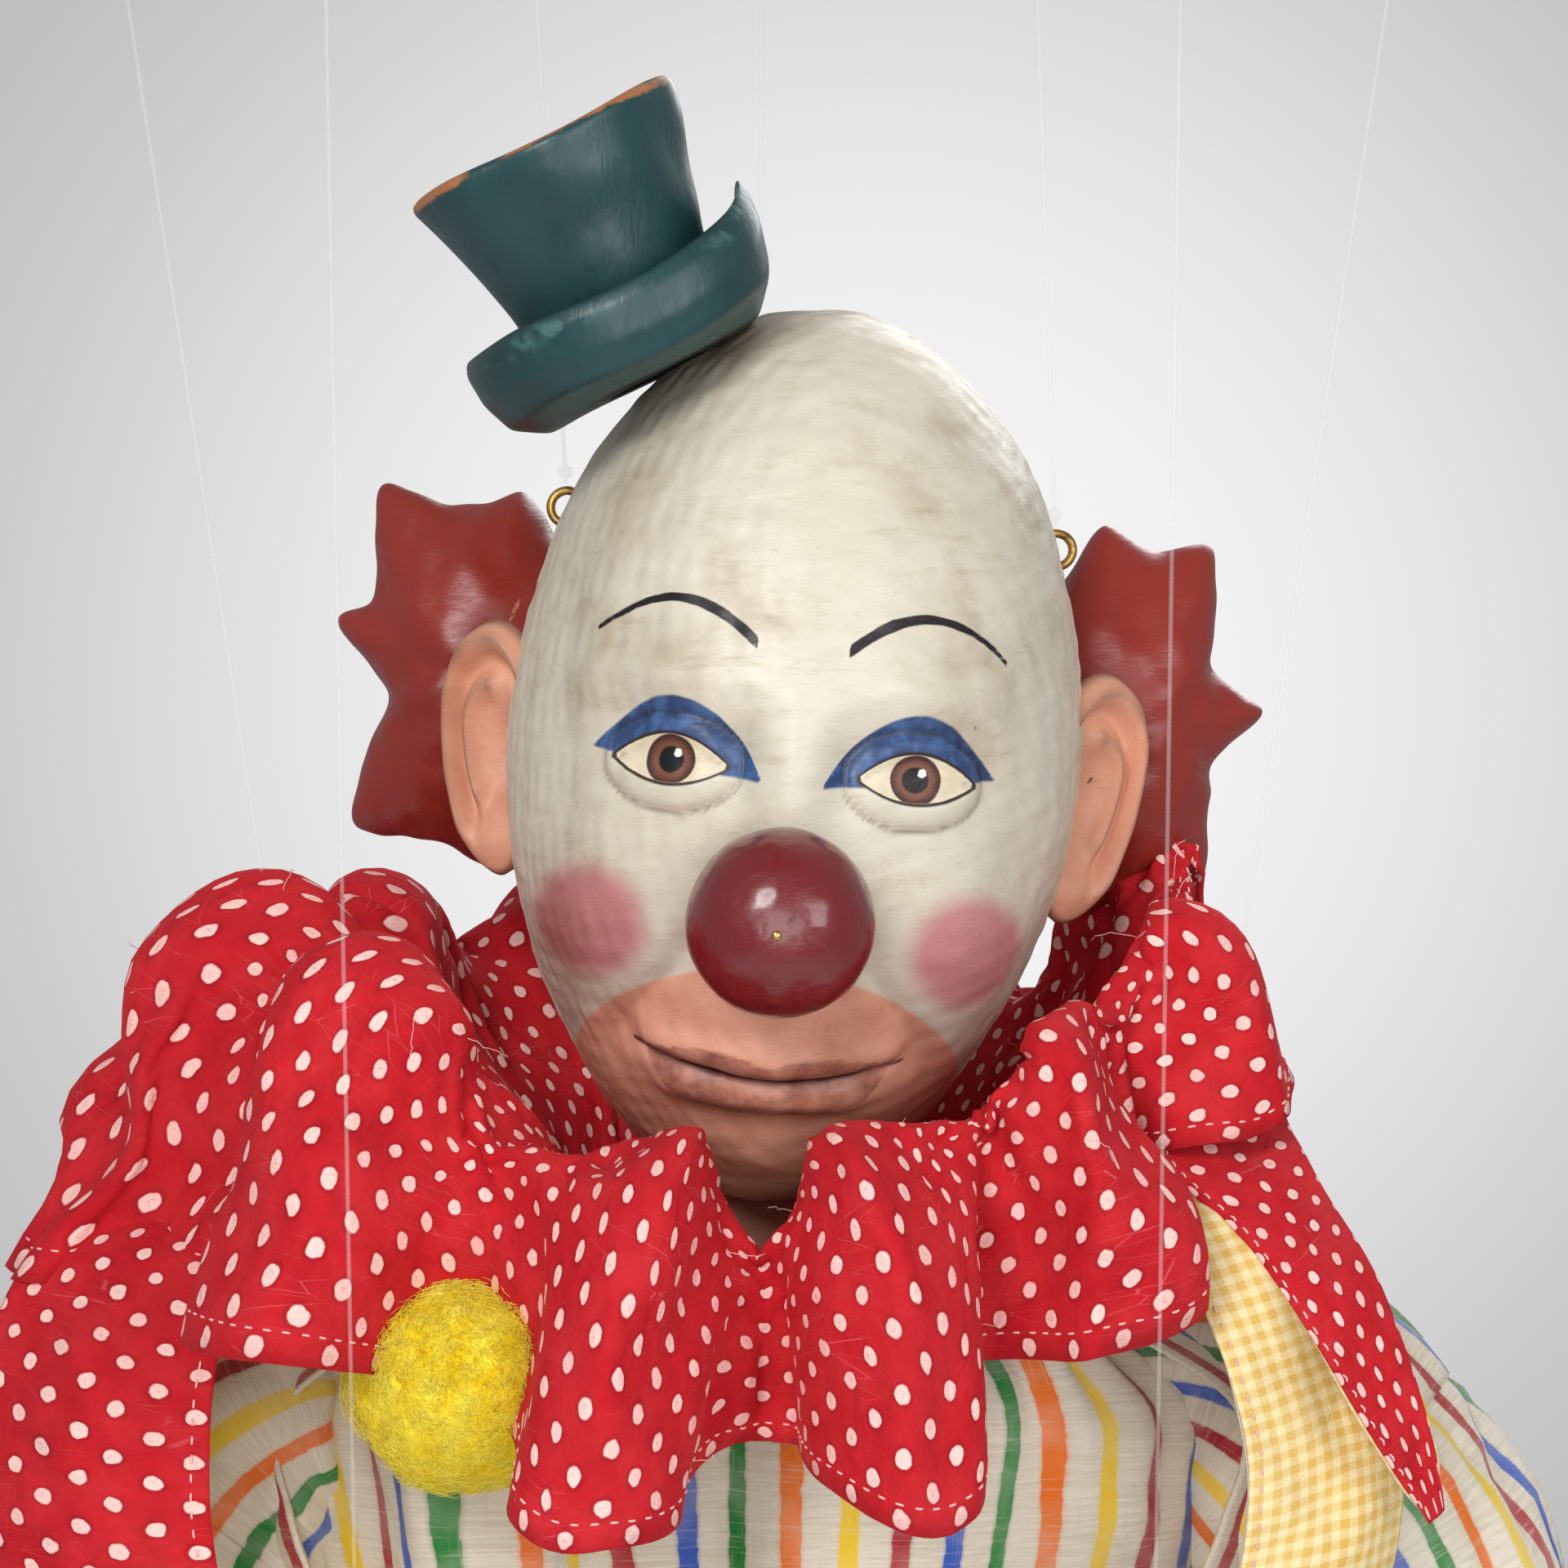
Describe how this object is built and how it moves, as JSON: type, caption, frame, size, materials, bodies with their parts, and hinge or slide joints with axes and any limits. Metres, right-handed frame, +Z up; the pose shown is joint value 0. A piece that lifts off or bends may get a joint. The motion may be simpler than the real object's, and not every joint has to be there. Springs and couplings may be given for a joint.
{
  "type": "marionette puppet",
  "caption": "Clown marionette with a painted head, small top hat, dotted ruff and striped coat, hanging on threads from a wooden crossbar control.",
  "frame": {"origin": "on the floor line under the soles, midway across and along the control", "axes": "+Z up; the puppet faces -Y; its own left side is +X"},
  "size_m": [0.3282, 0.33, 0.9998],
  "materials": {
    "control_wood": "oiled hardwood",
    "body_wood": "bare carved limewood",
    "face_paint": "aged cream satin paint with a thin dirt wash",
    "ear_paint": "peach paint with a brown wash",
    "nose_paint": "gloss dark red paint",
    "hair_paint": "semi-gloss brick red paint, worn at the tips",
    "hat_paint": "dark green-blue paint, worn to wood at the rim",
    "hand_paint": "cream satin paint",
    "shoe_paint": "gloss dark red paint, scuffed",
    "brass": "dull brass wire",
    "thread": "clear nylon",
    "cord": "twisted hemp",
    "dotted_cotton": "red cotton with off-white dots",
    "striped_cotton": "cream slub cotton with coloured stripes",
    "wool": "fluffy yellow wool"
  },
  "bodies": {
    "control": {"main_bar": "control_wood", "shoulder_bar": "control_wood", "hand_bar": "control_wood", "leg_bar": "control_wood", "bar_screws": "brass", "body_strings": "thread", "neck_post": "face_paint", "torso": "body_wood", "body_eyes": "brass", "ruff": "dotted_cotton", "shirt": "striped_cotton", "coat": "striped_cotton", "lapels": "dotted_cotton", "pompoms": "wool", "trouser_seat": "striped_cotton"},
    "head_turner": {"head_bar": "control_wood", "head_bar_bolt": "brass"},
    "head": {"head_front": "face_paint", "head_back": "face_paint", "nose": "nose_paint", "ears": "ear_paint", "hair": "hair_paint", "hat_crown": "hat_paint", "hat_brim": "hat_paint", "temple_eyes": "brass", "head_dowel": "body_wood", "neck_cord": "cord"},
    "head_string_r": {"head_string_r": "thread"},
    "shoulder_pivot_r": {"shoulder_pivot_r": "body_wood"},
    "upper_arm_r": {"upper_arm_r": "body_wood", "upper_sleeve_r": "striped_cotton"},
    "forearm_r": {"forearm_r": "body_wood", "lower_sleeve_r": "striped_cotton"},
    "hand_r": {"hand_r": "hand_paint"},
    "wrist_bead_r": {"wrist_bead_r": "brass"},
    "wrist_ring_r": {"wrist_ring_r": "brass"},
    "hand_string_r": {"hand_string_r": "thread"},
    "thigh_r": {"thigh_r": "body_wood", "trouser_thigh_r": "striped_cotton"},
    "shin_r": {"shin_r": "body_wood", "trouser_shin_r": "striped_cotton"},
    "shoe_r": {"shoe_r": "shoe_paint"},
    "knee_string_r": {"knee_string_r": "thread"},
    "head_string_l": {"head_string_l": "thread"},
    "shoulder_pivot_l": {"shoulder_pivot_l": "body_wood"},
    "upper_arm_l": {"upper_arm_l": "body_wood", "upper_sleeve_l": "striped_cotton"},
    "forearm_l": {"forearm_l": "body_wood", "lower_sleeve_l": "striped_cotton"},
    "hand_l": {"hand_l": "hand_paint"},
    "wrist_bead_l": {"wrist_bead_l": "brass"},
    "wrist_ring_l": {"wrist_ring_l": "brass"},
    "hand_string_l": {"hand_string_l": "thread"},
    "thigh_l": {"thigh_l": "body_wood", "trouser_thigh_l": "striped_cotton"},
    "shin_l": {"shin_l": "body_wood", "trouser_shin_l": "striped_cotton"},
    "shoe_l": {"shoe_l": "shoe_paint"},
    "knee_string_l": {"knee_string_l": "thread"}
  },
  "joints": [
    {"name": "head_turn", "type": "hinge", "parent": "control", "child": "head_turner", "pos_m": [0, 0.024, 0.95], "axis": [0, 0, 1], "range_deg": [-35, 35]},
    {"name": "head_nod", "type": "hinge", "parent": "head_turner", "child": "head", "pos_m": [0, 0.024, 0.632], "axis": [1, 0, 0], "range_deg": [-5, 10]},
    {"name": "head_string_lean_r", "type": "hinge", "parent": "head_turner", "child": "head_string_r", "pos_m": [-0.046, 0.024, 0.943], "axis": [1, 0, 0], "range_deg": [-10, 10]},
    {"name": "shoulder_swing_r", "type": "hinge", "parent": "control", "child": "shoulder_pivot_r", "pos_m": [-0.104, 0.012, 0.566], "axis": [-1, 0, 0], "range_deg": [-15, 85]},
    {"name": "shoulder_spread_r", "type": "hinge", "parent": "shoulder_pivot_r", "child": "upper_arm_r", "pos_m": [-0.104, 0.012, 0.566], "axis": [0, 1, 0], "range_deg": [0, 70]},
    {"name": "elbow_r", "type": "hinge", "parent": "upper_arm_r", "child": "forearm_r", "pos_m": [-0.12449, 0.012, 0.44979], "axis": [-0.9848, 0, 0.1736], "range_deg": [0, 80]},
    {"name": "wrist_r", "type": "hinge", "parent": "forearm_r", "child": "hand_r", "pos_m": [-0.1429, 0.012, 0.3454], "axis": [0.9848, 0, -0.1736], "range_deg": [-30, 30]},
    {"name": "wrist_bead_turn_r", "type": "hinge", "parent": "forearm_r", "child": "wrist_bead_r", "pos_m": [-0.148, -0.016, 0.3514], "axis": [-0.9848, 0, 0.1736], "range_deg": [-85, 5]},
    {"name": "wrist_ring_turn_r", "type": "hinge", "parent": "wrist_bead_r", "child": "wrist_ring_r", "pos_m": [-0.148, -0.016, 0.3514], "axis": [0, 1, 0], "range_deg": [-75, 5]},
    {"name": "hand_string_turn_r", "type": "hinge", "parent": "wrist_ring_r", "child": "hand_string_r", "pos_m": [-0.148, -0.016, 0.3514], "axis": [-1, 0, 0], "range_deg": [-90, 20]},
    {"name": "hip_r", "type": "hinge", "parent": "control", "child": "thigh_r", "pos_m": [-0.048, 0.012, 0.338], "axis": [-1, 0, 0], "range_deg": [-10, 60]},
    {"name": "knee_r", "type": "hinge", "parent": "thigh_r", "child": "shin_r", "pos_m": [-0.048, 0.012, 0.19], "axis": [1, 0, 0], "range_deg": [0, 75]},
    {"name": "ankle_r", "type": "hinge", "parent": "shin_r", "child": "shoe_r", "pos_m": [-0.048, 0.012, 0.05], "axis": [1, 0, 0], "range_deg": [-20, 30]},
    {"name": "knee_string_lean_r", "type": "hinge", "parent": "thigh_r", "child": "knee_string_r", "pos_m": [-0.064, -0.031, 0.212], "axis": [-1, 0, 0], "range_deg": [-75, 20]},
    {"name": "head_string_lean_l", "type": "hinge", "parent": "head_turner", "child": "head_string_l", "pos_m": [0.046, 0.024, 0.943], "axis": [1, 0, 0], "range_deg": [-10, 10]},
    {"name": "shoulder_swing_l", "type": "hinge", "parent": "control", "child": "shoulder_pivot_l", "pos_m": [0.104, 0.012, 0.566], "axis": [-1, 0, 0], "range_deg": [-15, 85]},
    {"name": "shoulder_spread_l", "type": "hinge", "parent": "shoulder_pivot_l", "child": "upper_arm_l", "pos_m": [0.104, 0.012, 0.566], "axis": [0, -1, 0], "range_deg": [0, 70]},
    {"name": "elbow_l", "type": "hinge", "parent": "upper_arm_l", "child": "forearm_l", "pos_m": [0.12449, 0.012, 0.44979], "axis": [-0.9848, 0, -0.1736], "range_deg": [0, 80]},
    {"name": "wrist_l", "type": "hinge", "parent": "forearm_l", "child": "hand_l", "pos_m": [0.1429, 0.012, 0.3454], "axis": [0.9848, 0, 0.1736], "range_deg": [-30, 30]},
    {"name": "wrist_bead_turn_l", "type": "hinge", "parent": "forearm_l", "child": "wrist_bead_l", "pos_m": [0.148, -0.016, 0.3514], "axis": [-0.9848, 0, -0.1736], "range_deg": [-85, 5]},
    {"name": "wrist_ring_turn_l", "type": "hinge", "parent": "wrist_bead_l", "child": "wrist_ring_l", "pos_m": [0.148, -0.016, 0.3514], "axis": [0, -1, 0], "range_deg": [-75, 5]},
    {"name": "hand_string_turn_l", "type": "hinge", "parent": "wrist_ring_l", "child": "hand_string_l", "pos_m": [0.148, -0.016, 0.3514], "axis": [-1, 0, 0], "range_deg": [-90, 20]},
    {"name": "hip_l", "type": "hinge", "parent": "control", "child": "thigh_l", "pos_m": [0.048, 0.012, 0.338], "axis": [-1, 0, 0], "range_deg": [-10, 60]},
    {"name": "knee_l", "type": "hinge", "parent": "thigh_l", "child": "shin_l", "pos_m": [0.048, 0.012, 0.19], "axis": [1, 0, 0], "range_deg": [0, 75]},
    {"name": "ankle_l", "type": "hinge", "parent": "shin_l", "child": "shoe_l", "pos_m": [0.048, 0.012, 0.05], "axis": [1, 0, 0], "range_deg": [-20, 30]},
    {"name": "knee_string_lean_l", "type": "hinge", "parent": "thigh_l", "child": "knee_string_l", "pos_m": [0.064, -0.031, 0.212], "axis": [-1, 0, 0], "range_deg": [-75, 20]}
  ],
  "couplings": [
    {"joint": "head_string_lean_r", "follows": "head_nod", "ratio": -0.574},
    {"joint": "wrist_bead_turn_r", "follows": "elbow_r", "ratio": -1},
    {"joint": "wrist_ring_turn_r", "follows": "shoulder_spread_r", "ratio": -1},
    {"joint": "hand_string_turn_r", "follows": "shoulder_swing_r", "ratio": -1},
    {"joint": "knee_string_lean_r", "follows": "hip_r", "ratio": -1.13},
    {"joint": "head_string_lean_l", "follows": "head_nod", "ratio": -0.5152},
    {"joint": "wrist_bead_turn_l", "follows": "elbow_l", "ratio": -1},
    {"joint": "wrist_ring_turn_l", "follows": "shoulder_spread_l", "ratio": -1},
    {"joint": "hand_string_turn_l", "follows": "shoulder_swing_l", "ratio": -1},
    {"joint": "knee_string_lean_l", "follows": "hip_l", "ratio": -1.13}
  ]
}
